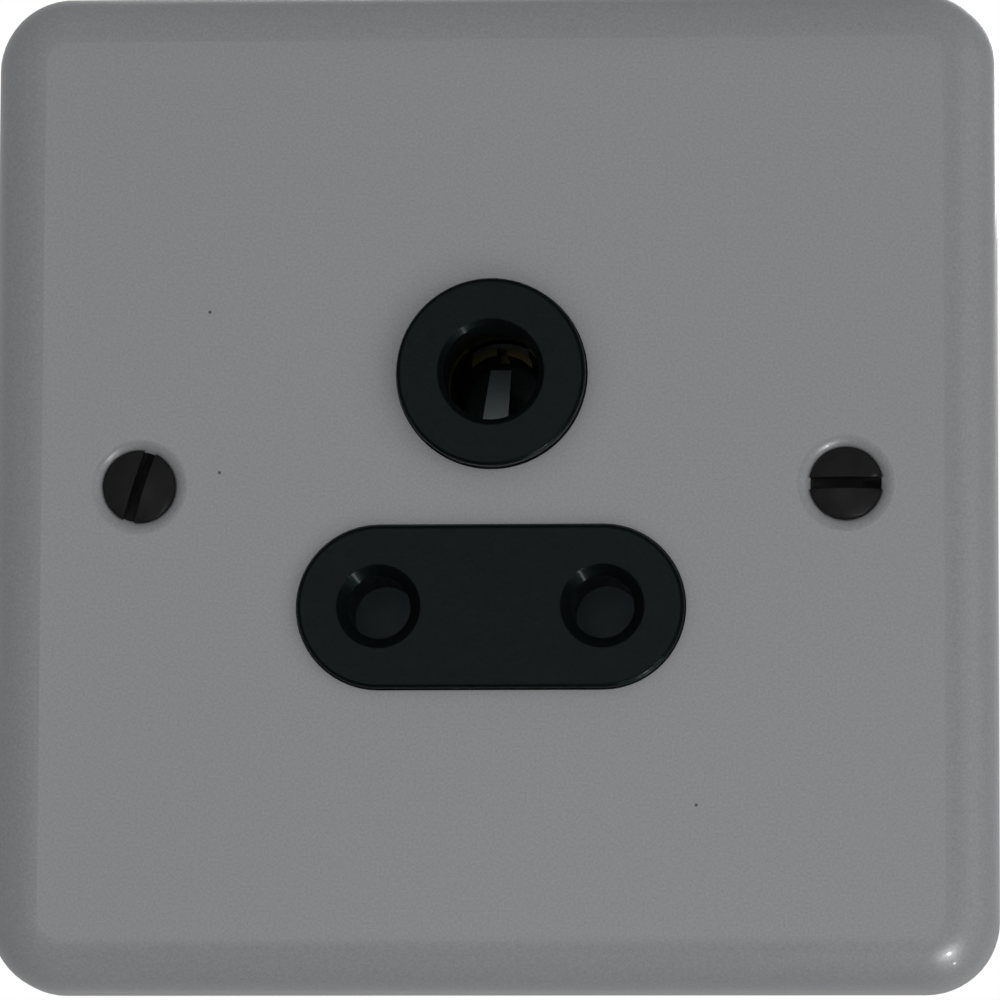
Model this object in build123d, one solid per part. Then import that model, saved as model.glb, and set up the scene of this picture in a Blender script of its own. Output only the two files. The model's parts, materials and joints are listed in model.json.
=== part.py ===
"""Round pin socket outlet: a pressed plate, a moulded insert with a shutter, contacts and terminals.

Frame, in millimetres: X runs across the plate, +Z is up, and +Y goes into the wall.
The origin is the centre of the plate's rear rim, where it meets the wall.
"""

from build123d import *
from math import radians, tan
import os

# Front plate
plate_size = 86.0
plate_depth = 7.5
plate_sheet = 1.2
plate_corner = 6.3
edge_roll = 4.5

# Dimples and screws that fix the plate to its box
fixing_pitch = 60.3
dimple_radius = 3.75
dimple_hole_radius = 1.9
dimple_lip = 1.0
fixing_thread_radius = 1.75
fixing_neck_radius = 1.5
fixing_head_radius = 3.12
fixing_head_rim = 0.2
fixing_head_dome = 0.7
fixing_length = 25.0
fixing_slot_width = 1.0
fixing_slot_depth = 1.0
fixing_thread_clear = 1.7
fixing_slot_angles = (73.0, 0.0)

# Pin pattern and pins
pin_pitch = 19.05
earth_height = 9.5
line_height = -10.5
earth_pin_radius = 3.53
earth_pin_length = 20.6
line_pin_radius = 2.54
line_pin_length = 15.9

# Bosses of the insert and the plate's cut-outs round them
round_cutout_radius = 8.2
slot_cutout_height = 14.2
boss_clearance = 0.12
round_boss_proud = 1.5
slot_boss_proud = 0.8
boss_edge = 0.35
earth_bore_radius = 4.05
line_bore_radius = 2.68
earth_mouth = 0.52
line_mouth = 0.9
earth_relief = 0.3

# Front moulding
housing_width = 50.0
housing_top = 21.0
housing_bottom = -27.0
housing_corner = 3.0
least_corner = 0.5
front_wall = 6.7
skirt = 1.6
skirt_edge = 0.4
ledge = 2.0
rail = 1.5

# Shutter and its spring
shutter_sheet = 1.4
shutter_gap = 0.1
shutter_side_gap = 0.25
shutter_travel = 5.8
shutter_cover = 0.12
crossbar_end = 4.0
crossbar_below = 3.4
crossbar_corner = 0.8
stem_width = 7.0
fin_width = 2.4
fin_tip_width = 1.8
fin_slot = 3.0
fin_lead = 4.4
fin_ramp_run = 8.0
fin_tip_above = 2.0
fin_tip_length = 0.6
fin_root = 5.2
spring_radius = 1.6
spring_wire = 0.4
spring_turns = 7
spring_seat = 0.1
spring_slot_top = -4.5
spring_room = 0.4
spring_peg_side = 1.2
spring_peg_length = 2.2

# Rear moulding
shelf = 3.8
base_gap = 0.15
cell_wall = 1.4
cell_floor = 1.6
cell_end_room = 0.5
barrier_thickness = 1.2
barrier_height = 6.0
web_thickness = 1.5
web_height = 2.8

# Contacts and the clips round them
contact_sheet = 0.7
contact_squeeze = 0.04
contact_split = 0.9
contact_root = 1.2
contact_flare = 0.35
contact_step = 0.3
contact_gap = 0.1
earth_mouth_opening = 5.2
arm_width = 4.6
clip_sheet = 0.5
clip_width = 3.0
clip_gap = 0.05
clip_opening = 70.0
clip_room = 0.2

# Terminals and their screws
terminal_side = 5.4
terminal_length = 11.0
terminal_gap = 0.1
terminal_offset = 8.3
earth_terminal_inset = 3.0
rivet_radius = 1.2
rivet_gap = 0.05
wire_bore_radius = 1.7
wire_bore_from_end = 4.4
terminal_screw_radius = 1.5
terminal_screw_length = 2.4
terminal_head_radius = 2.3
terminal_head_height = 1.6
head_edge = 0.5
screw_slot_width = 0.7
screw_slot_depth = 0.8
thread_gap = 0.05
terminal_slot_angles = (20.0, 75.0, -35.0)
terminal_edge = 0.3

# Pillars on the plate, and the screws that hold the insert
pillar_inset = 7.0
pillar_z = 1.5
pillar_radius = 2.5
pillar_gap = 0.15
pillar_boss_wall = 1.5
pillar_screw_radius = 1.5
pillar_screw_reach = 4.0
pillar_screw_hole_radius = 1.7
pan_head_radius = 2.75
pan_head_height = 1.8
pan_slot_angles = (40.0, -15.0)

# Self-tapping screws that join the two mouldings
case_screw_inset = 6.5
case_screw_margin = 5.0
case_screw_radius = 1.2
case_screw_reach = 4.6
case_screw_hole_radius = 1.4
case_boss_radius = 3.0
case_head_radius = 2.4
case_head_height = 1.6
case_slot_angles = (10.0, 55.0, 130.0, -25.0)

# Earth strap
strap_sheet = 0.6
strap_width = 5.6
strap_upstand = 4.0
strap_end_margin = 2.8

# Planes along Y that the sizes above give
plate_face = -plate_depth
plate_back = plate_face + plate_sheet
round_face = plate_face - round_boss_proud
slot_face = plate_face - slot_boss_proud
wall_back = plate_back + front_wall
shutter_front = wall_back + shutter_gap
shutter_back = shutter_front + shutter_sheet
base_front = shutter_back + shutter_gap + contact_gap
shelf_back = base_front + shelf
arm_front = base_front + contact_gap
arm_back = arm_front + contact_sheet
earth_contact_front = wall_back + 2 * shutter_gap
earth_tip = round_face + earth_pin_length
line_tip = round_face + line_pin_length
terminal_back = arm_back + terminal_length
wire_bore_depth = terminal_back - wire_bore_from_end
dimple_front = plate_face + dimple_radius - dimple_hole_radius
dimple_back = dimple_front + plate_sheet
fixing_thread_start = dimple_back + fixing_thread_clear
fin_front = wall_back - fin_lead
fin_ramp_back = fin_front + fin_ramp_run
fin_back = fin_ramp_back + fin_tip_length
earth_grip = fin_back + 2 * shutter_gap + contact_step
line_grip = arm_back + 2 * contact_step

# Places in the XZ plane
line_x = pin_pitch / 2
line_places = {"live": line_x, "neutral": -line_x}
housing_height = housing_top - housing_bottom
housing_middle = (housing_top + housing_bottom) / 2
fixing_x = fixing_pitch / 2
pillar_x = housing_width / 2 - pillar_inset
case_screw_x = housing_width / 2 - case_screw_inset
slot_cutout_width = pin_pitch + slot_cutout_height
terminal_places = {
    "earth": (earth_terminal_inset - pillar_x, earth_height),
    "live": (line_x + terminal_offset, line_height),
    "neutral": (-line_x - terminal_offset, line_height),
}
case_screw_places = [
    (side * case_screw_x, height)
    for side in (-1, 1)
    for height in (housing_top - case_screw_margin, housing_bottom + case_screw_margin)
]
earth_contact_radius = earth_pin_radius - contact_squeeze
line_contact_radius = line_pin_radius - contact_squeeze
earth_cell_radius = earth_contact_radius + contact_sheet + clip_gap + clip_sheet + clip_room
line_cell_radius = line_contact_radius + contact_sheet + clip_gap + clip_sheet + clip_room
crossbar_top = line_height + line_bore_radius + shutter_cover
crossbar_bottom = line_height - crossbar_below
crossbar_half = line_x + crossbar_end
earth_mouth_radius = earth_contact_radius + contact_step + contact_sheet
stem_top = earth_height - earth_mouth_radius - 2 * shutter_side_gap
pocket_bottom = housing_bottom + skirt + ledge / 2
fin_low = earth_height - fin_root - shutter_sheet
fin_room = fin_low - shutter_travel - shutter_side_gap
spring_length = spring_slot_top - pocket_bottom - 2 * spring_seat
spring_middle = (shutter_front + shutter_back) / 2
spring_groove = spring_radius + spring_wire / 2 + spring_room


def slab(outline, front, back):
    """A flat outline drawn in X and Z, given thickness from Y front to Y back."""
    return extrude(Plane.XZ.offset(-back) * outline, amount=back - front)


def block(x0, x1, y0, y1, z0, z1):
    """A box between two corners."""
    return Pos((x0 + x1) / 2, (y0 + y1) / 2, (z0 + z1) / 2) * Box(x1 - x0, y1 - y0, z1 - z0)


def rod(radius, front, back, x=0.0, z=0.0):
    """A round bar along Y."""
    return slab(Pos(x, z) * Circle(radius), front, back)


def turned(profile, x=0.0, z=0.0):
    """A profile of radius and Y points, turned about a Y axis through x and z."""
    return Pos(x, 0, z) * revolve(make_face(Polyline(*profile, close=True)), Axis.Y)


def ring(inner, outer, front, back, x=0.0, z=0.0):
    """A round tube along Y."""
    return slab(Pos(x, z) * (Circle(outer) - Circle(inner)), front, back)


def housing_outline(inset):
    """The housing's outline in X and Z, drawn in by an inset."""
    width = housing_width - 2 * inset
    height = housing_height - 2 * inset
    corner = max(housing_corner - inset, least_corner)
    return Pos(0, housing_middle) * RectangleRounded(width, height, corner)


def slotted_head(seat, radius, height, x, z, angle=0.0):
    """A low round screw head on a seat, with its slot on the side that faces +Y."""
    head = rod(radius, seat, seat + height, x, z)
    head = fillet(head.edges().group_by(Axis.Y)[-1], head_edge)
    depth = seat + height - screw_slot_depth
    bar = Rectangle(3 * radius, screw_slot_width)
    return head - slab(Pos(x, z) * Rot(0, 0, angle) * bar, depth, seat + 2 * height)


def make_front_plate():
    """The pressed plate: rolled edges, two dimples for screws, a round and an obround cut-out."""
    roll = min(edge_roll, plate_depth - plate_sheet, plate_corner - plate_sheet / 4)
    outer = slab(RectangleRounded(plate_size, plate_size, plate_corner), plate_face, 0)
    outer = fillet(outer.edges().group_by(Axis.Y)[0], roll)
    inner_size = plate_size - 2 * plate_sheet
    inner = slab(RectangleRounded(inner_size, inner_size, plate_corner - plate_sheet), plate_back, 0)
    inner = fillet(inner.edges().group_by(Axis.Y)[0], roll - plate_sheet)
    plate = outer - inner
    plate -= rod(round_cutout_radius, plate_face, plate_back, 0, earth_height)
    slot_cutout = Pos(0, line_height) * SlotOverall(slot_cutout_width, slot_cutout_height)
    plate -= slab(slot_cutout, plate_face, plate_back)
    cone_back_radius = dimple_hole_radius + dimple_back - plate_back
    outer_radius = max(cone_back_radius, dimple_radius + dimple_lip)
    dimple = [
        (outer_radius, plate_face),
        (dimple_radius, plate_face),
        (dimple_hole_radius, dimple_front),
        (dimple_hole_radius, dimple_back),
        (cone_back_radius, plate_back),
        (outer_radius, plate_back),
    ]
    for side in (-1, 1):
        plate -= rod(outer_radius, plate_face, plate_back, side * fixing_x)
        plate += turned(dimple, side * fixing_x)
    lips = [
        edge
        for edge in plate.edges().filter_by(GeomType.CIRCLE)
        if abs(edge.radius - dimple_radius) < 0.01 and abs(edge.center().Y - plate_face) < 0.01
    ]
    return fillet(lips, dimple_lip)


def make_fixing_screws():
    """Two raised countersunk slotted screws, seated in the dimples."""
    seat = plate_face + dimple_radius - fixing_head_radius - thread_gap
    rim = seat - fixing_head_rim
    top = rim - fixing_head_dome
    tip = rim + fixing_length
    lead = fixing_thread_radius / 3
    neck = seat + fixing_head_radius - fixing_neck_radius
    screws = []
    for side, angle in zip((-1, 1), fixing_slot_angles):
        x = side * fixing_x
        shank = [
            (0, rim),
            (fixing_head_radius, rim),
            (fixing_head_radius, seat),
            (fixing_neck_radius, neck),
            (fixing_neck_radius, fixing_thread_start),
            (fixing_thread_radius, fixing_thread_start),
            (fixing_thread_radius, tip - lead),
            (fixing_thread_radius - lead, tip),
            (0, tip),
        ]
        dome_radius = (fixing_head_radius**2 + fixing_head_dome**2) / (2 * fixing_head_dome)
        dome = Pos(x, top + dome_radius, 0) * Sphere(dome_radius)
        dome &= rod(fixing_head_radius, top - 1, rim, x)
        screw = turned(shank, x) + dome
        bar = Pos(x, 0) * Rot(0, 0, angle) * Rectangle(3 * fixing_head_radius, fixing_slot_width)
        screws.append(screw - slab(bar, top - 1, top + fixing_slot_depth))
    return Compound(children=screws)


def upright(x, bottom, top):
    """A guide rail that stands in the shutter's hollow."""
    return block(x - rail / 2, x + rail / 2, wall_back, base_front, bottom, top)


def shutter_pocket():
    """The hollow that the shutter slides in, less its guide rails and the screw bosses."""
    inset = skirt + ledge / 2
    pocket = slab(housing_outline(inset), wall_back, base_front)
    stem_edge = stem_width / 2 + shutter_side_gap + rail / 2
    bar_edge = crossbar_half + shutter_side_gap + rail / 2
    bar_low = crossbar_bottom - shutter_travel
    for side in (-1, 1):
        pocket -= upright(side * stem_edge, crossbar_top + shutter_side_gap, stem_top - rail)
        pocket -= upright(side * bar_edge, bar_low, crossbar_top)
        boss = pillar_radius + pillar_gap + pillar_boss_wall
        pocket -= rod(boss, wall_back, base_front, side * pillar_x, pillar_z)
    for x, z in case_screw_places:
        pocket -= rod(case_boss_radius, wall_back, base_front, x, z)
    return pocket


def spring_peg(bottom, top):
    """A square peg that keeps an end of the spring in place."""
    side = spring_peg_side / 2
    return block(-side, side, spring_middle - side, spring_middle + side, bottom, top)


def make_insert_front():
    """The front moulding: bosses, pin bores, the shutter's channel and a skirt round the rear moulding."""
    body = slab(housing_outline(0), plate_back, shelf_back)
    body = fillet(body.edges().group_by(Axis.Y)[0], skirt_edge)
    body = chamfer(body.edges().group_by(Axis.Y)[-1], skirt_edge)
    body -= slab(housing_outline(skirt), base_front, shelf_back)
    body -= shutter_pocket()
    round_boss = rod(round_cutout_radius - boss_clearance, round_face, plate_back, 0, earth_height)
    body += fillet(round_boss.edges().group_by(Axis.Y)[0], boss_edge)
    width = slot_cutout_width - 2 * boss_clearance
    height = slot_cutout_height - 2 * boss_clearance
    slot_boss = slab(Pos(0, line_height) * SlotOverall(width, height), slot_face, plate_back)
    body += fillet(slot_boss.edges().group_by(Axis.Y)[0], boss_edge)

    bores = [(0, earth_height, earth_bore_radius, round_face, earth_mouth)]
    bores += [(x, line_height, line_bore_radius, slot_face, line_mouth) for x in line_places.values()]
    for x, z, radius, face, mouth in bores:
        throat = face + mouth
        profile = [(0, face), (radius + mouth, face), (radius, throat), (radius, wall_back), (0, wall_back)]
        body -= turned(profile, x, z)
    relief_front = fin_front - 2 * shutter_gap
    body -= rod(earth_bore_radius + earth_relief, relief_front, wall_back, 0, earth_height)

    body -= block(-fin_slot / 2, fin_slot / 2, relief_front, wall_back, fin_room, earth_height)
    groove = spring_middle - spring_groove
    body -= block(-spring_groove, spring_groove, groove, wall_back, pocket_bottom, spring_slot_top)
    body += spring_peg(pocket_bottom, pocket_bottom + spring_peg_length)
    for side in (-1, 1):
        body -= rod(pillar_radius + pillar_gap, plate_back, base_front, side * pillar_x, pillar_z)
    for x, z in case_screw_places:
        depth = base_front - case_screw_reach
        body -= rod(case_screw_radius + thread_gap, depth, base_front, x, z)
    return body


def make_shutter():
    """The sliding shutter: a crossbar over the line holes, a stem, and a ramped fin in the earth hole."""
    crossbar = Pos(0, (crossbar_top + crossbar_bottom) / 2) * RectangleRounded(
        2 * crossbar_half, crossbar_top - crossbar_bottom, crossbar_corner
    )
    stem = Pos(0, (stem_top + crossbar_bottom) / 2) * Rectangle(stem_width, stem_top - crossbar_bottom)
    slot_bottom = crossbar_bottom - 1
    slot = Pos(0, (spring_slot_top + slot_bottom) / 2) * Rectangle(
        2 * spring_groove, spring_slot_top - slot_bottom
    )
    shutter = slab(crossbar + stem - slot, shutter_front, shutter_back)
    shutter += spring_peg(spring_slot_top - spring_peg_length, spring_slot_top)
    ramp_top = earth_height + fin_tip_above
    root = earth_height - fin_root
    fin = [
        (fin_front, root),
        (fin_front, earth_height - earth_bore_radius),
        (fin_ramp_back, ramp_top),
        (fin_back, ramp_top),
        (fin_back, root),
        (shutter_back, fin_low),
        (shutter_front, fin_low),
    ]
    side_view = Plane.YZ.offset(-fin_width / 2) * make_face(Polyline(*fin, close=True))
    half_low = fin_width / 2
    half_tip = fin_tip_width / 2
    taper = [(-half_low, fin_low), (half_low, fin_low), (half_tip, ramp_top), (-half_tip, ramp_top)]
    front_view = slab(make_face(Polyline(*taper, close=True)), fin_front, fin_back)
    return shutter + (extrude(side_view, amount=fin_width) & front_view)


def make_shutter_spring():
    """The compression spring that lifts the shutter."""
    pitch = spring_length / spring_turns
    height = spring_length - spring_wire
    start = pocket_bottom + spring_seat + spring_wire / 2
    path = Pos(0, spring_middle, start) * Helix(pitch, height, spring_radius)
    return sweep(Plane(origin=path @ 0, z_dir=path % 0) * Circle(spring_wire / 2), path, is_frenet=True)


def make_contact(radius, front, grip, back, x, z, terminal_x, split):
    """A rolled sleeve, split below and slit above, with a wide mouth and an arm to its terminal."""
    mouth = radius + contact_step
    wall = [
        (mouth + contact_flare, front),
        (mouth, front + contact_flare),
        (mouth, grip - contact_step),
        (radius, grip),
        (radius, back),
        (radius + contact_sheet, back),
        (radius + contact_sheet, grip),
        (mouth + contact_sheet, grip - contact_step),
        (mouth + contact_sheet, front),
    ]
    sleeve = turned(wall, x, z)
    reach = mouth + 2 * contact_sheet
    sleeve -= block(x - split / 2, x + split / 2, front, back, z - reach, z)
    slit = contact_split / 2
    sleeve -= block(x - slit, x + slit, front, back - contact_root, z, z + reach)
    direction = 1 if terminal_x > x else -1
    arm_start = x + direction * (mouth + contact_sheet / 2)
    arm_end = terminal_x + direction * terminal_side / 2
    low, high = sorted((arm_start, arm_end))
    arm = block(low, high, arm_front, arm_back, z - arm_width / 2, z + arm_width / 2)
    arm -= rod(mouth + contact_sheet / 4, arm_front, arm_back, x, z)
    arm -= rod(rivet_radius + rivet_gap, arm_front, arm_back, terminal_x, z)
    return sleeve + arm


def make_earth_contact(grip, back):
    """The earth contact, whose mouth is open at the top and leaves two wings beside the pin."""
    terminal_x = terminal_places["earth"][0]
    contact = make_contact(
        earth_contact_radius, earth_contact_front, grip, back, 0, earth_height, terminal_x, fin_slot
    )
    half = earth_mouth_opening / 2
    top = earth_height + 2 * earth_mouth_radius
    return contact - block(-half, half, earth_contact_front, grip, earth_height, top)


def make_clip(radius, grip, back, x, z):
    """A split spring ring that presses the grip of a sleeve closed, at the middle of its length."""
    front = (grip + back - clip_width) / 2
    inner = radius + contact_sheet + clip_gap
    outer = inner + clip_sheet
    clip = ring(inner, outer, front, front + clip_width, x, z)
    reach = 2 * outer
    spread = reach * tan(radians(clip_opening / 2))
    wedge = make_face(Polyline((0, 0), (spread, -reach), (-spread, -reach), close=True))
    return clip - slab(Pos(x, z) * wedge, front, front + clip_width)


def make_terminal(x, z):
    """A brass block riveted to its contact's arm, with a wire bore along Z and a tapped screw hole."""
    side = terminal_side / 2
    body = block(x - side, x + side, arm_back, terminal_back, z - side, z + side)
    body = chamfer(body.edges().group_by(Axis.Y)[-1], terminal_edge)
    body += rod(rivet_radius, arm_front, arm_back, x, z)
    body -= Pos(x, wire_bore_depth, z) * Cylinder(wire_bore_radius, 2 * terminal_side)
    return body - rod(terminal_screw_radius + thread_gap, wire_bore_depth, terminal_back, x, z)


def make_terminal_screws():
    """One clamping screw in each terminal, backed out clear of the wire bore."""
    screws = []
    for angle, (x, z) in zip(terminal_slot_angles, terminal_places.values()):
        shank = rod(terminal_screw_radius, terminal_back - terminal_screw_length, terminal_back, x, z)
        head = slotted_head(terminal_back, terminal_head_radius, terminal_head_height, x, z, angle)
        screws.append(shank + head)
    return Compound(children=screws)


def make_rear_base():
    """The rear moulding: a shelf inside the skirt, cells for the contacts, and barriers."""
    base = slab(housing_outline(skirt + base_gap), base_front, shelf_back)
    earth_floor = earth_tip + cell_end_room
    line_floor = line_tip + contact_gap + 2 * cell_end_room
    cells = [(0, earth_height, earth_cell_radius, earth_floor)]
    cells += [(x, line_height, line_cell_radius, line_floor) for x in line_places.values()]
    web_back = shelf_back + web_height
    barrier_back = shelf_back + barrier_height
    base += block(-web_thickness / 2, web_thickness / 2, base_front, web_back, line_height, earth_height)
    half = web_thickness / 2
    base += block(-line_x, line_x, base_front, web_back, line_height - half, line_height + half)
    barrier_z = (pillar_z - pan_head_radius + line_height + terminal_side / 2) / 2
    edge = housing_width / 2 - skirt - base_gap
    for side in (-1, 1):
        low, high = sorted((side * (line_x + line_cell_radius / 2), side * edge))
        thick = barrier_thickness / 2
        base += block(low, high, base_front, barrier_back, barrier_z - thick, barrier_z + thick)
    for x, z, radius, floor in cells:
        tower = rod(radius + cell_wall, base_front, floor + cell_floor, x, z)
        base += fillet(tower.edges().group_by(Axis.Y)[-1], cell_wall / 2)
    for x, z, radius, floor in cells:
        base -= rod(radius, base_front, floor, x, z)

    side = terminal_side / 2 + terminal_gap
    for x, z in terminal_places.values():
        base -= block(x - side, x + side, base_front, shelf_back, z - side, z + side)
    arm = arm_width / 2 + contact_gap
    arm_room = arm_back + contact_gap
    for name, (x, z) in terminal_places.items():
        low, high = sorted((line_places.get(name, 0.0), x))
        base -= block(low, high, base_front, arm_room, z - arm, z + arm)

    fin_end = fin_back + 2 * shutter_gap
    base -= block(-fin_slot / 2, fin_slot / 2, base_front, fin_end, fin_room, earth_height)
    groove = spring_middle + spring_groove
    base -= block(-spring_groove, spring_groove, base_front, groove, pocket_bottom, spring_slot_top)
    for side in (-1, 1):
        base -= rod(pillar_screw_hole_radius, base_front, shelf_back, side * pillar_x, pillar_z)
    for x, z in case_screw_places:
        base -= rod(case_screw_hole_radius, base_front, shelf_back, x, z)
    return base


def make_case_screws():
    """Four self-tapping screws that join the rear moulding to the front one."""
    screws = []
    for angle, (x, z) in zip(case_slot_angles, case_screw_places):
        shank = rod(case_screw_radius, base_front - case_screw_reach, shelf_back, x, z)
        head = slotted_head(shelf_back, case_head_radius, case_head_height, x, z, angle)
        screws.append(shank + head)
    return Compound(children=screws)


def make_plate_pillars():
    """Two tapped brass pillars staked to the back of the plate."""
    pillars = []
    for side in (-1, 1):
        pillar = rod(pillar_radius, plate_back, base_front, side * pillar_x, pillar_z)
        tapped = base_front - pillar_screw_reach - 2 * thread_gap
        bore = rod(pillar_screw_radius + thread_gap, tapped, base_front, side * pillar_x, pillar_z)
        pillars.append(pillar - bore)
    return Compound(children=pillars)


def make_insert_screws():
    """Two pan head screws that clamp the insert to the pillars, one through the earth strap."""
    screws = []
    seats = (shelf_back + strap_sheet, shelf_back)
    for side, seat, angle in zip((-1, 1), seats, pan_slot_angles):
        x = side * pillar_x
        shank = rod(pillar_screw_radius, base_front - pillar_screw_reach, seat, x, pillar_z)
        head = slotted_head(seat, pan_head_radius, pan_head_height, x, pillar_z, angle)
        screws.append(shank + head)
    return Compound(children=screws)


def make_earth_strap():
    """The folded strap that joins the earth terminal to the plate through its pillar and screw."""
    terminal_x, terminal_z = terminal_places["earth"]
    fold = terminal_x - terminal_side / 2
    left = -pillar_x - strap_width / 2
    right = left + strap_width
    bottom = pillar_z - strap_end_margin
    neck = terminal_z - terminal_side / 2 - terminal_gap
    top = terminal_z + terminal_side / 2
    seat = shelf_back
    strap = block(left, right, seat, seat + strap_sheet, bottom, neck - strap_sheet)
    strap += block(left, fold, seat, seat + strap_sheet, bottom, top)
    strap += block(fold - strap_sheet, fold, seat, seat + strap_upstand, neck, top)
    return strap - rod(pillar_screw_hole_radius, seat, seat + strap_sheet, -pillar_x, pillar_z)


def build_parts():
    """Every piece by the name of its node."""
    earth_end = earth_tip - cell_end_room
    line_end = line_tip + contact_gap
    parts = {
        "front_plate": make_front_plate(),
        "fixing_screws": make_fixing_screws(),
        "insert_front": make_insert_front(),
        "rear_base": make_rear_base(),
        "shutter": make_shutter(),
        "shutter_spring": make_shutter_spring(),
        "plate_pillars": make_plate_pillars(),
        "insert_screws": make_insert_screws(),
        "case_screws": make_case_screws(),
        "terminal_screws": make_terminal_screws(),
        "earth_strap": make_earth_strap(),
        "earth_contact": make_earth_contact(earth_grip, earth_end),
        "earth_clip": make_clip(earth_contact_radius, earth_grip, earth_end, 0, earth_height),
    }
    for name, x in line_places.items():
        parts[name + "_contact"] = make_contact(
            line_contact_radius,
            arm_front,
            line_grip,
            line_end,
            x,
            line_height,
            terminal_places[name][0],
            contact_split,
        )
        parts[name + "_clip"] = make_clip(line_contact_radius, line_grip, line_end, x, line_height)
    for name, (x, z) in terminal_places.items():
        parts[name + "_terminal"] = make_terminal(x, z)
    return parts


def main():
    os.makedirs("parts", exist_ok=True)
    for name, shape in build_parts().items():
        export_step(shape, f"parts/{name}.step")


main()
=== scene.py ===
import json
import math

import bmesh
import bpy
from mathutils import Matrix, Quaternion, Vector


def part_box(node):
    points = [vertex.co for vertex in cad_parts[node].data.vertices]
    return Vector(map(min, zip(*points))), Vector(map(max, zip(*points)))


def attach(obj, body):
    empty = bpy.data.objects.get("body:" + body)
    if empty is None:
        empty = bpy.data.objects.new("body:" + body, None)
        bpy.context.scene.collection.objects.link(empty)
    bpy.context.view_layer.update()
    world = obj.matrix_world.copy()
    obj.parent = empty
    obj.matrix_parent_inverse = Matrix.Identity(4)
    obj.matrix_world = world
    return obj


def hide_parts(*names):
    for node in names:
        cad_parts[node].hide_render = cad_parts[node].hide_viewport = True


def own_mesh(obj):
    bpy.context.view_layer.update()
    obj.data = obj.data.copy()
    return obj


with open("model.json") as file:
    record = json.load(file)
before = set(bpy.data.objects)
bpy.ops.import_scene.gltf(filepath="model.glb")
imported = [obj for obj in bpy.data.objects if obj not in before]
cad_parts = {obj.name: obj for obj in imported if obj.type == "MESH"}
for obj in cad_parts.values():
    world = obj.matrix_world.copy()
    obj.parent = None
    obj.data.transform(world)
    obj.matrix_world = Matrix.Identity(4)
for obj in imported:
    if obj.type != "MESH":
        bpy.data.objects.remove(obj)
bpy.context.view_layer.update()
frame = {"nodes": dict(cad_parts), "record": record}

MM = 0.001
WHITE = (1.0, 1.0, 1.0, 1.0)

# Camera at the photograph's viewing angle
CAMERA_TARGET = Vector((0.225, 0.0, -0.355)) * MM
CAMERA_DISTANCE = 0.7
CAMERA_AZIMUTH = math.radians(4.0)
CAMERA_ELEVATION = math.radians(-7.5)
CAMERA_ROLL = math.radians(0.24)
PIXELS_PER_MM = 11.63
PICTURE_WIDTH = 1000
SENSOR_WIDTH = 36.0

# Floor
FLOOR_HEIGHT = -0.25
FLOOR_SIZE = 8.0
FLOOR_GREYS = ((0.80, 0.80, 0.80), (0.82, 0.82, 0.82))
FLOOR_GLOW = 0.45

# Light: name, place, size of the panel, power, and whether reflections show it
PANELS = (
    ("front_panel", (-0.083, -1.187, 0.02), 0.48, 0.30, True),
    ("side_panel", (0.9, -0.5, 0.06), 0.6, 2.6, False),
    ("back_panel", (0.3, 1.1, 0.6), 0.8, 8.0, True),
    ("upper_lamp", (0.12, -0.12, -0.158), 0.013, 0.055, True),
    ("lower_lamp", (0.163, -0.05, -0.228), 0.014, 0.012, True),
)
AMBIENT = 1.0

# Room that reflections show, from the photographer's side to the back
FRONT_ROOM = 0.03
BACK_ROOM = 0.3
FRONT_ROOM_END = 0.3
BACK_ROOM_START = 0.9

# Range that most values of a noise fall in
NOISE_LOW = 0.3
NOISE_HIGH = 0.7

# Plate: its two greys, its gloss, and the dark specks in some cells of a grid
PLATE_GREYS = ((0.295, 0.300, 0.308), (0.357, 0.362, 0.371))
PLATE_GLOSS = (0.36, 0.38)
SPECK_COLOUR = (0.09, 0.09, 0.09)
SPECK_CELLS = 70.0
SPECK_RADIUS = 0.14 * MM
SPECK_SHARE = 0.22

# Mouldings: their two blacks, their gloss, and the rounding that shows on their edges
MOULDING_BLACKS = ((0.0008, 0.0011, 0.0012), (0.0012, 0.0015, 0.0016))
MOULDING_TINT = (0.6, 1.0, 1.03, 1.0)
MOULDING_GLOSS = (0.28, 0.42)
MOULDED_EDGE = 0.25 * MM

# Black screws: their faces, the painted shade and dull gloss in their slots, and how far the occlusion
# mask that paints that shade looks for walls beside it
SCREW_BLACKS = ((0.0065, 0.0065, 0.0065), (0.0090, 0.0090, 0.0090))
SCREW_GLOSS = (0.34, 0.44)
# Near-black painted shade for the slots
SLOT_PAINTED_SHADE = (0.003, 0.003, 0.003)
SLOT_GLOSS = 0.9
SLOT_REACH = 1.2 * MM
SLOT_OPENNESS = 0.55
FACE_OPENNESS = 0.85

# Shutter: its dark greys, the lighter greys painted on its ramp as the light it catches, and the heights
# on it at which that painted light begins and is full
SHUTTER_GREYS = ((0.054, 0.074, 0.084), (0.064, 0.086, 0.096))
# Lighter greys painted on the ramp as the light it catches
RAMP_PAINTED_LIGHT_GREYS = ((0.150, 0.176, 0.184), (0.174, 0.204, 0.212))
SHUTTER_GLOSS = (0.42, 0.52)
RAMP_PAINTED_LIGHT_START = 3.5 * MM
RAMP_PAINTED_LIGHT_FULL = 5.5 * MM

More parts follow.
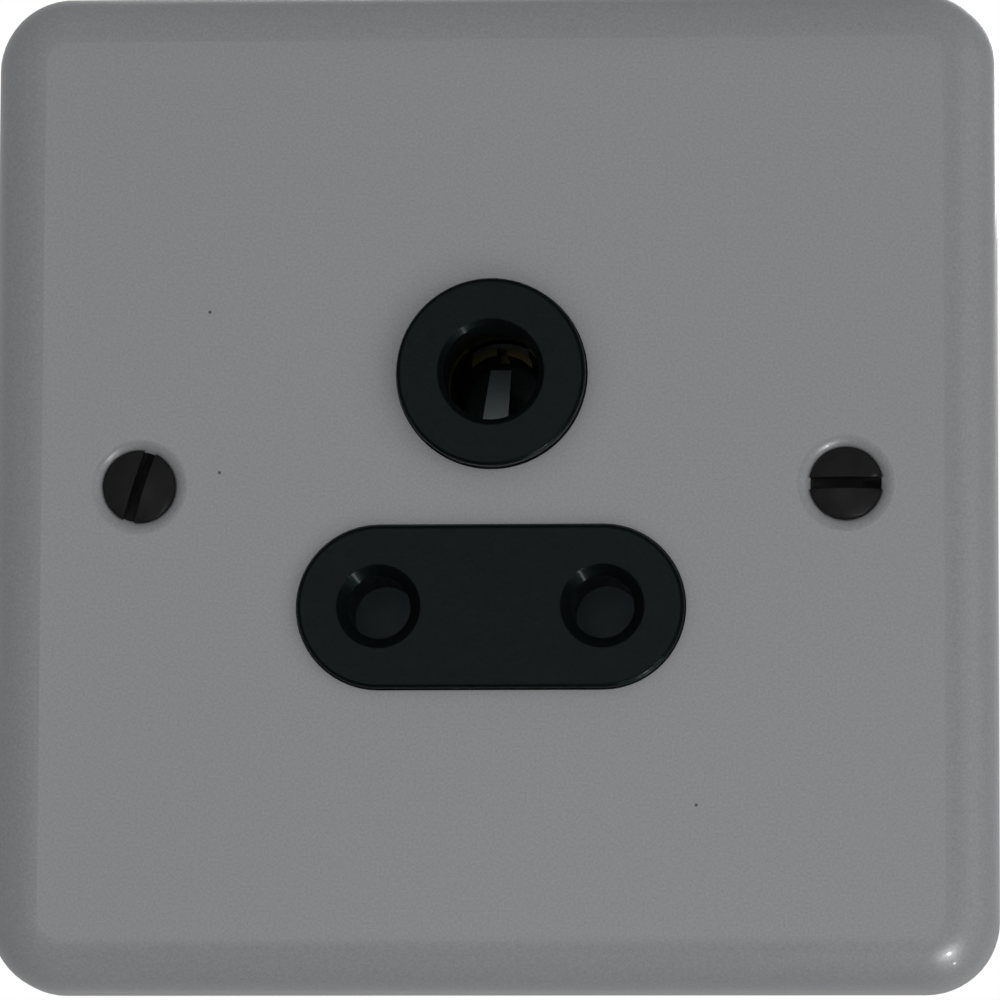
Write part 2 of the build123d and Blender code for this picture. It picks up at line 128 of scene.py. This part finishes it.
# Metals: name, dark and light colour, gloss, patches and grain in a metre, relief in mm, metallic share
METALS = (
    ("spring_steel", (0.10, 0.10, 0.11), (0.15, 0.15, 0.16), (0.26, 0.38), 900.0, 6000.0, 0.003, 1.0),
    ("zinc_steel", (0.50, 0.51, 0.51), (0.66, 0.66, 0.64), (0.26, 0.42), 800.0, 5200.0, 0.004, 0.8),
    ("brass", (0.60, 0.42, 0.19), (0.76, 0.56, 0.27), (0.22, 0.36), 500.0, 4800.0, 0.004, 0.7),
    # contact_brass is the brass darkened to a shaded copy: painted shade for the contacts deep inside the
    # holes
    ("contact_brass", (0.09, 0.072, 0.034), (0.14, 0.12, 0.06), (0.32, 0.44), 500.0, 4800.0, 0.003, 1.0),
    ("tinned_brass", (0.54, 0.53, 0.49), (0.67, 0.66, 0.62), (0.28, 0.40), 600.0, 4800.0, 0.004, 0.8),
)

# Threads of the fixing screws
THREAD_PITCH = 0.6 * MM
THREAD_ROOT = 1.42 * MM
THREAD_FLAT = 0.125
THREAD_ROWS = 8
THREAD_SIDES = 32
THREAD_TOLERANCE = 0.02 * MM
NECK_CUT = 0.05 * MM
BEHIND_HEAD = -4.0 * MM
WELD_DISTANCE = 0.001 * MM
SHARP_ANGLE = math.radians(30)

# Spring of the shutter
SPRING_TURNS = 7
SPRING_WIRE_RADIUS = 0.2 * MM
SPRING_STEPS = 40
SPRING_SIDES = 12

# Marks at the terminals
MARK_HEIGHT = 3.0 * MM
MARK_RELIEF = 0.12 * MM
MARK_BELOW_TERMINAL = 3.6 * MM
CAPITAL_SHARE = 0.7
EARTH_MARK_OFFSET = Vector((3.2, 0.0, 5.6)) * MM
EARTH_MARK_BARS = (3.0, 2.0, 1.0)
EARTH_MARK_STEP = 0.75
EARTH_MARK_LINE = 0.3
EARTH_MARK_STEM = 1.3


def shader_tree(name):
    """A new material, its node tree and its Principled shader."""
    material = bpy.data.materials.new(name)
    material.use_nodes = True
    tree = material.node_tree
    return material, tree, tree.nodes["Principled BSDF"]


def give(tree, value, socket):
    """Links a socket to another one, or sets it to a plain value."""
    if isinstance(value, bpy.types.NodeSocket):
        tree.links.new(value, socket)
    else:
        socket.default_value = value


def give_all(tree, shader, values):
    """Gives several inputs of a shader their values, by name."""
    for name, value in values.items():
        give(tree, value, shader.inputs[name])


def mapped(tree, value, start, end, low, high):
    """A value carried over from one range to another, and held within its ends."""
    node = tree.nodes.new("ShaderNodeMapRange")
    give_all(tree, node, {"From Min": start, "From Max": end, "To Min": low, "To Max": high})
    tree.links.new(value, node.inputs["Value"])
    return node.outputs["Result"]


def calculated(tree, operation, first, second):
    """The result of a math node on two values."""
    node = tree.nodes.new("ShaderNodeMath")
    node.operation = operation
    give(tree, first, node.inputs[0])
    give(tree, second, node.inputs[1])
    return node.outputs["Value"]


def object_place(tree):
    """Coordinates fixed to the object, and their three parts."""
    place = tree.nodes.new("ShaderNodeTexCoord").outputs["Object"]
    parts = tree.nodes.new("ShaderNodeSeparateXYZ")
    tree.links.new(place, parts.inputs["Vector"])
    return parts.outputs


def object_noise(tree, scale, detail=3.0, roughness=0.55):
    """Noise fixed to the object, with its size given as cells in a metre."""
    place = tree.nodes.new("ShaderNodeTexCoord")
    noise = tree.nodes.new("ShaderNodeTexNoise")
    give_all(tree, noise, {"Scale": scale, "Detail": detail, "Roughness": roughness})
    tree.links.new(place.outputs["Object"], noise.inputs["Vector"])
    return noise.outputs["Fac"]


def noise_between(tree, low, high, scale, detail=3.0, roughness=0.55):
    """Noise stretched from its usual range to lie between two values."""
    noise = object_noise(tree, scale, detail, roughness)
    return mapped(tree, noise, NOISE_LOW, NOISE_HIGH, low, high)


def mixed_colour(tree, factor, first, second):
    """A colour between two, by a factor; each colour is given as numbers or as a socket."""
    node = tree.nodes.new("ShaderNodeMix")
    node.data_type = "RGBA"
    for name, colour in (("A", first), ("B", second)):
        socket = next(s for s in node.inputs if s.name == name and s.type == "RGBA")
        give(tree, (*colour, 1.0) if isinstance(colour, tuple) else colour, socket)
    tree.links.new(factor, node.inputs["Factor"])
    return next(s for s in node.outputs if s.type == "RGBA")


def clouded(tree, colours, scale, detail=4.0, roughness=0.55):
    """A colour that drifts between two close ones."""
    return mixed_colour(tree, noise_between(tree, 0.0, 1.0, scale, detail, roughness), *colours)


def bumped(tree, shader, scale, depth):
    """Fine relief of a given depth on a shader."""
    bump = tree.nodes.new("ShaderNodeBump")
    bump.inputs["Distance"].default_value = depth
    tree.links.new(object_noise(tree, scale), bump.inputs["Height"])
    tree.links.new(bump.outputs["Normal"], shader.inputs["Normal"])
    return bump


def speck_factor(tree):
    """Small round specks on the face of the plate, in a share of the cells of a grid."""
    place = object_place(tree)
    flat = tree.nodes.new("ShaderNodeCombineXYZ")
    give_all(tree, flat, {"X": place["X"], "Y": place["Z"]})
    cells = tree.nodes.new("ShaderNodeTexVoronoi")
    cells.voronoi_dimensions = "2D"
    give_all(tree, cells, {"Scale": SPECK_CELLS, "Vector": flat.outputs["Vector"]})
    near = calculated(tree, "LESS_THAN", cells.outputs["Distance"], SPECK_RADIUS * SPECK_CELLS)
    chosen = calculated(tree, "LESS_THAN", cells.outputs["Color"], SPECK_SHARE)
    return calculated(tree, "MULTIPLY", near, chosen)


def plate_material():
    """Satin grey plating with a fine grain and a few dark specks."""
    material, tree, shader = shader_tree("plate_metal")
    grey = clouded(tree, PLATE_GREYS, 4800.0, 2.0, 0.6)
    give_all(tree, shader, {
        "Base Color": mixed_colour(tree, speck_factor(tree), grey, SPECK_COLOUR),
        "Metallic": 0.5,
        "Roughness": noise_between(tree, *PLATE_GLOSS, 900.0, 2.0),
        "Coat Weight": 0.6,
        "Coat Roughness": 0.035,
    })
    bumped(tree, shader, 2600.0, 0.002 * MM)
    return material


def moulding_material():
    """Black moulded plastic with a cool sheen and the grain of the mould."""
    material, tree, shader = shader_tree("black_moulding")
    give_all(tree, shader, {
        "Base Color": clouded(tree, MOULDING_BLACKS, 700.0),
        "Roughness": noise_between(tree, *MOULDING_GLOSS, 2600.0),
        "Specular IOR Level": 0.3,
        "Specular Tint": MOULDING_TINT,
        "Coat Weight": 0.25,
        "Coat Roughness": 0.15,
    })
    bump = bumped(tree, shader, 3600.0, 0.035 * MM)
    edges = tree.nodes.new("ShaderNodeBevel")
    edges.samples = 6
    edges.inputs["Radius"].default_value = MOULDED_EDGE
    tree.links.new(edges.outputs["Normal"], bump.inputs["Normal"])
    return material


def screw_material():
    """Blackened steel, worn smooth on its open faces, dull down in the slots, where painted shade darkens
    the colour by how enclosed each point is.
    """
    material, tree, shader = shader_tree("black_screw")
    # Painted shade: an occlusion mask darkens the colour down in the slots and wherever walls stand close
    around = tree.nodes.new("ShaderNodeAmbientOcclusion")
    around.samples = 8
    around.inputs["Distance"].default_value = SLOT_REACH
    open_share = mapped(tree, around.outputs["AO"], SLOT_OPENNESS, FACE_OPENNESS, 0.0, 1.0)
    face = clouded(tree, SCREW_BLACKS, 700.0)
    face_gloss = noise_between(tree, *SCREW_GLOSS, 1500.0, 2.0)
    give_all(tree, shader, {
        "Base Color": mixed_colour(tree, open_share, SLOT_PAINTED_SHADE, face),
        "Roughness": mapped(tree, open_share, 0.0, 1.0, SLOT_GLOSS, face_gloss),
        "Specular IOR Level": 0.45,
    })
    bumped(tree, shader, 5200.0, 0.004 * MM)
    return material


def shutter_material():
    """Dark grey nylon, with painted light making the ramp lighter above a given height, where the ramp
    faces the light.
    """
    material, tree, shader = shader_tree("shutter_plastic")
    plain = clouded(tree, SHUTTER_GREYS, 700.0)
    ramp_lit_grey = clouded(tree, RAMP_PAINTED_LIGHT_GREYS, 700.0)
    # Painted light: the ramp turns lighter above a height, standing in for the light that falls on it
    ramp_light_share = mapped(tree, object_place(tree)["Z"], RAMP_PAINTED_LIGHT_START, RAMP_PAINTED_LIGHT_FULL, 0.0, 1.0)
    give_all(tree, shader, {
        "Base Color": mixed_colour(tree, ramp_light_share, plain, ramp_lit_grey),
        "Roughness": noise_between(tree, *SHUTTER_GLOSS, 1500.0, 2.0),
        "Specular IOR Level": 0.15,
    })
    bumped(tree, shader, 4200.0, 0.006 * MM)
    return material


def metal_material(name, dark, light, gloss, patch, grain, relief, metallic):
    """Bare or plated metal: patches of two close colours, a gloss range, and a fine grain."""
    material, tree, shader = shader_tree(name)
    give_all(tree, shader, {
        "Base Color": clouded(tree, (dark, light), patch),
        "Metallic": metallic,
        "Roughness": noise_between(tree, *gloss, 2 * patch),
    })
    bumped(tree, shader, grain, relief * MM)
    return material


def make_materials():
    """One material for each slot of the record."""
    materials = {row[0]: metal_material(*row) for row in METALS}
    materials["plate_metal"] = plate_material()
    materials["black_screw"] = screw_material()
    materials["black_moulding"] = moulding_material()
    materials["shutter_plastic"] = shutter_material()
    return materials


def paint_nodes(materials):
    """Gives every node of the frame the material of its slot."""
    for part in frame["record"]["subparts"]:
        mesh = frame["nodes"][part["node"]].data
        mesh.materials.clear()
        mesh.materials.append(materials[part["material_slot"]])


def plain_mesh(work, name):
    """The finished mesh of a form with flat faces."""
    mesh = bpy.data.meshes.new(name)
    work.to_mesh(mesh)
    work.free()
    return mesh


def smooth_mesh(work, name):
    """The finished mesh of a round form, smooth apart from its sharp edges."""
    bmesh.ops.recalc_face_normals(work, faces=work.faces)
    for face in work.faces:
        face.smooth = True
    mesh = plain_mesh(work, name)
    mesh.set_sharp_from_angle(angle=SHARP_ANGLE)
    return mesh


def add_piece(name, mesh, material):
    """Puts a mesh into the scene as a piece that rides on the outlet."""
    piece = bpy.data.objects.new(name, mesh)
    bpy.context.scene.collection.objects.link(piece)
    mesh.materials.clear()
    mesh.materials.append(material)
    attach(piece, "outlet")
    return piece


def thread_wave(turns):
    """Height of a thread over its root, from 0 to 1, at a place counted in turns."""
    rise = 1.0 - abs(2.0 * (turns % 1.0) - 1.0)
    return min(1.0, max(0.0, (1.0 + 2.0 * THREAD_FLAT) * rise - THREAD_FLAT))


def add_threaded_rod(work, x, z, start, end, crest):
    """A closed threaded rod along Y, with a short taper at its end."""
    taper = crest / 3
    count = round((end - start) / THREAD_PITCH * THREAD_ROWS)
    rows = []
    for row in range(count + 1):
        y = start + (end - start) * row / count
        limit = crest - max(0.0, y - (end - taper))
        ring = []
        for side in range(THREAD_SIDES):
            turn = side / THREAD_SIDES
            wave = thread_wave((y - start) / THREAD_PITCH - turn)
            radius = min(limit, THREAD_ROOT + (crest - THREAD_ROOT) * wave)
            angle = math.tau * turn
            ring.append(work.verts.new((x + radius * math.cos(angle), y, z + radius * math.sin(angle))))
        rows.append(ring)
    for first, second in zip(rows, rows[1:]):
        for side in range(THREAD_SIDES):
            after = (side + 1) % THREAD_SIDES
            work.faces.new((first[side], second[side], second[after], first[after]))
    work.faces.new(rows[0])
    work.faces.new(tuple(reversed(rows[-1])))


def is_on_thread(place, pitch, crest):
    """True for a point on the plain cylinder that stands for the thread."""
    offset = math.hypot(abs(place.x) - pitch / 2, place.z)
    return place.y > BEHIND_HEAD and abs(offset - crest) < THREAD_TOLERANCE


def make_fixing_screws(material):
    """The fixing screws with their heads as modelled and a real thread on the shank."""
    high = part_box("fixing_screws")[1]
    mount = next(m for m in frame["record"]["mounts"] if m["name"] == "wall_box_fixing")
    pitch = mount["dims"]["spacing_x_mm"] * MM
    crest = mount["dims"]["stud_r_mm"] * MM
    work = bmesh.new()
    work.from_mesh(frame["nodes"]["fixing_screws"].data)
    bmesh.ops.remove_doubles(work, verts=work.verts, dist=WELD_DISTANCE)
    shoulder = min(v.co.y for v in work.verts if is_on_thread(v.co, pitch, crest))
    cut = shoulder - NECK_CUT
    bmesh.ops.bisect_plane(
        work,
        geom=work.verts[:] + work.edges[:] + work.faces[:],
        plane_co=(0, cut, 0),
        plane_no=(0, 1, 0),
        clear_outer=True,
    )
    bmesh.ops.holes_fill(work, edges=[edge for edge in work.edges if edge.is_boundary])
    for side in (-1, 1):
        add_threaded_rod(work, side * pitch / 2, 0.0, cut, high.y, crest)
    mesh = smooth_mesh(work, "threaded_fixing_screws")
    piece = add_piece("threaded_fixing_screws", mesh, material)
    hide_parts("fixing_screws")


def make_spring(material):
    """The shutter's spring: a plain helix, made at one fixed length."""
    low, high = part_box("shutter_spring")
    middle = (low + high) / 2
    coil = (high.x - low.x) / 2 - SPRING_WIRE_RADIUS
    bottom = low.z + SPRING_WIRE_RADIUS
    height = high.z - low.z - 2 * SPRING_WIRE_RADIUS
    climb = height / (math.tau * SPRING_TURNS)
    count = SPRING_TURNS * SPRING_STEPS
    work = bmesh.new()
    rings = []
    for step in range(count + 1):
        share = step / count
        angle = math.tau * SPRING_TURNS * share
        centre = Vector((coil * math.cos(angle), coil * math.sin(angle), bottom + height * share))
        centre += Vector((middle.x, middle.y, 0))
        outward = Vector((math.cos(angle), math.sin(angle), 0))
        along = Vector((-coil * math.sin(angle), coil * math.cos(angle), climb))
        across = along.normalized().cross(outward)
        ring = []
        for side in range(SPRING_SIDES):
            turn = math.tau * side / SPRING_SIDES
            offset = outward * math.cos(turn) + across * math.sin(turn)
            ring.append(work.verts.new(centre + offset * SPRING_WIRE_RADIUS))
        rings.append(ring)
    for first, second in zip(rings, rings[1:]):
        for side in range(SPRING_SIDES):
            after = (side + 1) % SPRING_SIDES
            work.faces.new((first[side], first[after], second[after], second[side]))
    work.faces.new(tuple(reversed(rings[0])))
    work.faces.new(rings[-1])
    mesh = smooth_mesh(work, "coil_spring")
    spring = add_piece("coil_spring", mesh, material)
    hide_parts("shutter_spring")
    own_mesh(spring)


def back_facing(place):
    """The frame of a mark that is read from behind: its face to +Y, its top to +Z."""
    turn = Matrix(((-1, 0, 0), (0, 0, 1), (0, 1, 0))).to_4x4()
    return Matrix.Translation(place) @ turn


def make_letter(letter, place, material):
    """A raised capital on the back of the rear moulding."""
    curve = bpy.data.curves.new("mark_curve_" + letter, "FONT")
    curve.body = letter
    curve.size = MARK_HEIGHT / CAPITAL_SHARE
    curve.align_x = "CENTER"
    curve.align_y = "CENTER"
    curve.extrude = MARK_RELIEF
    source = bpy.data.objects.new("mark_source_" + letter, curve)
    mesh = bpy.data.meshes.new_from_object(source)
    bpy.data.objects.remove(source)
    bpy.data.curves.remove(curve)
    mesh.transform(back_facing(place))
    add_piece("mark_" + letter, mesh, material)


def make_earth_mark(place, material):
    """The raised earth sign: a stem over three bars that get shorter."""
    bars = [
        (width, EARTH_MARK_LINE, -row * EARTH_MARK_STEP)
        for row, width in enumerate(EARTH_MARK_BARS)
    ]
    bars.append((EARTH_MARK_LINE, EARTH_MARK_STEM, (EARTH_MARK_STEM + EARTH_MARK_LINE) / 2))
    work = bmesh.new()
    for width, height, middle in bars:
        scale = Matrix.Diagonal((width * MM, height * MM, 2 * MARK_RELIEF, 1.0))
        shift = Matrix.Translation((0, middle * MM, 0))
        bmesh.ops.create_cube(work, size=1.0, matrix=shift @ scale)
    mesh = plain_mesh(work, "mark_earth")
    mesh.transform(back_facing(place))
    add_piece("mark_earth", mesh, material)


def make_marks(material):
    """The usual marks beside the three terminals."""
    shelf_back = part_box("insert_front")[1].y
    for letter, node in (("L", "live_terminal"), ("N", "neutral_terminal")):
        low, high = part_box(node)
        place = Vector(((low.x + high.x) / 2, shelf_back, low.z - MARK_BELOW_TERMINAL))
        make_letter(letter, place, material)
    low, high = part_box("earth_terminal")
    middle = (low + high) / 2
    place = Vector((middle.x, shelf_back, middle.z)) + EARTH_MARK_OFFSET
    make_earth_mark(place, material)


def make_floor():
    """A plain pale floor that shows as white and keeps the shadow."""
    work = bmesh.new()
    bmesh.ops.create_grid(work, x_segments=1, y_segments=1, size=FLOOR_SIZE / 2)
    mesh = plain_mesh(work, "floor")
    floor = bpy.data.objects.new("floor", mesh)
    floor.location.z = FLOOR_HEIGHT
    floor.visible_glossy = False
    bpy.context.scene.collection.objects.link(floor)
    material, tree, shader = shader_tree("floor")
    seen = tree.nodes.new("ShaderNodeLightPath").outputs["Is Camera Ray"]
    give_all(tree, shader, {
        "Base Color": clouded(tree, FLOOR_GREYS, 3.0, 2.0),
        "Roughness": 0.9,
        "Specular IOR Level": 0.1,
        "Emission Color": WHITE,
        "Emission Strength": calculated(tree, "MULTIPLY", seen, FLOOR_GLOW),
    })
    mesh.materials.append(material)


def make_world():
    """White to the camera and plain light on the object; reflections show a dim room, darker in front."""
    world = bpy.data.worlds.new("studio")
    world.use_nodes = True
    bpy.context.scene.world = world
    tree = world.node_tree
    ambient = tree.nodes["Background"]
    give_all(tree, ambient, {"Color": WHITE, "Strength": AMBIENT})
    path = tree.nodes.new("ShaderNodeLightPath").outputs
    parts = tree.nodes.new("ShaderNodeSeparateXYZ")
    direction = tree.nodes.new("ShaderNodeTexCoord").outputs["Generated"]
    tree.links.new(direction, parts.inputs["Vector"])
    room = mapped(tree, parts.outputs["Y"], FRONT_ROOM_END, BACK_ROOM_START, FRONT_ROOM, BACK_ROOM)
    shown = tree.nodes.new("ShaderNodeBackground")
    strength = calculated(tree, "MAXIMUM", room, path["Is Camera Ray"])
    give_all(tree, shown, {"Color": WHITE, "Strength": strength})
    seen = path["Is Camera Ray"]
    for name in ("Is Glossy Ray", "Is Transmission Ray"):
        seen = calculated(tree, "MAXIMUM", seen, path[name])
    mix = tree.nodes.new("ShaderNodeMixShader")
    tree.links.new(seen, mix.inputs["Fac"])
    tree.links.new(ambient.outputs["Background"], mix.inputs[1])
    tree.links.new(shown.outputs["Background"], mix.inputs[2])
    tree.links.new(mix.outputs["Shader"], tree.nodes["World Output"].inputs["Surface"])


def add_panel(name, place, size, power, reflected):
    """A square light panel that faces the object."""
    light = bpy.data.lights.new(name, "AREA")
    light.size = size
    light.energy = power
    panel = bpy.data.objects.new(name, light)
    panel.location = place
    panel.visible_glossy = reflected
    panel.rotation_mode = "QUATERNION"
    panel.rotation_quaternion = (-Vector(place)).to_track_quat("-Z", "Y")
    bpy.context.scene.collection.objects.link(panel)


def make_camera():
    """The camera: a long lens, a little right of the plate's axis and below it."""
    back = Vector(
        (
            math.sin(CAMERA_AZIMUTH) * math.cos(CAMERA_ELEVATION),
            -math.cos(CAMERA_AZIMUTH) * math.cos(CAMERA_ELEVATION),
            math.sin(CAMERA_ELEVATION),
        )
    )
    data = bpy.data.cameras.new("camera")
    data.sensor_width = SENSOR_WIDTH
    data.lens = PIXELS_PER_MM * CAMERA_DISTANCE / MM * SENSOR_WIDTH / PICTURE_WIDTH
    camera = bpy.data.objects.new("camera", data)
    camera.location = CAMERA_TARGET + back * CAMERA_DISTANCE
    camera.rotation_mode = "QUATERNION"
    roll = Quaternion((0, 0, 1), CAMERA_ROLL)
    camera.rotation_quaternion = (-back).to_track_quat("-Z", "Y") @ roll
    bpy.context.scene.collection.objects.link(camera)
    bpy.context.scene.camera = camera


materials = make_materials()
paint_nodes(materials)
make_fixing_screws(materials["black_screw"])
make_spring(materials["spring_steel"])
make_marks(materials["black_moulding"])
make_floor()
make_world()
for panel in PANELS:
    add_panel(*panel)
make_camera()
bpy.context.scene.view_settings.view_transform = "Standard"
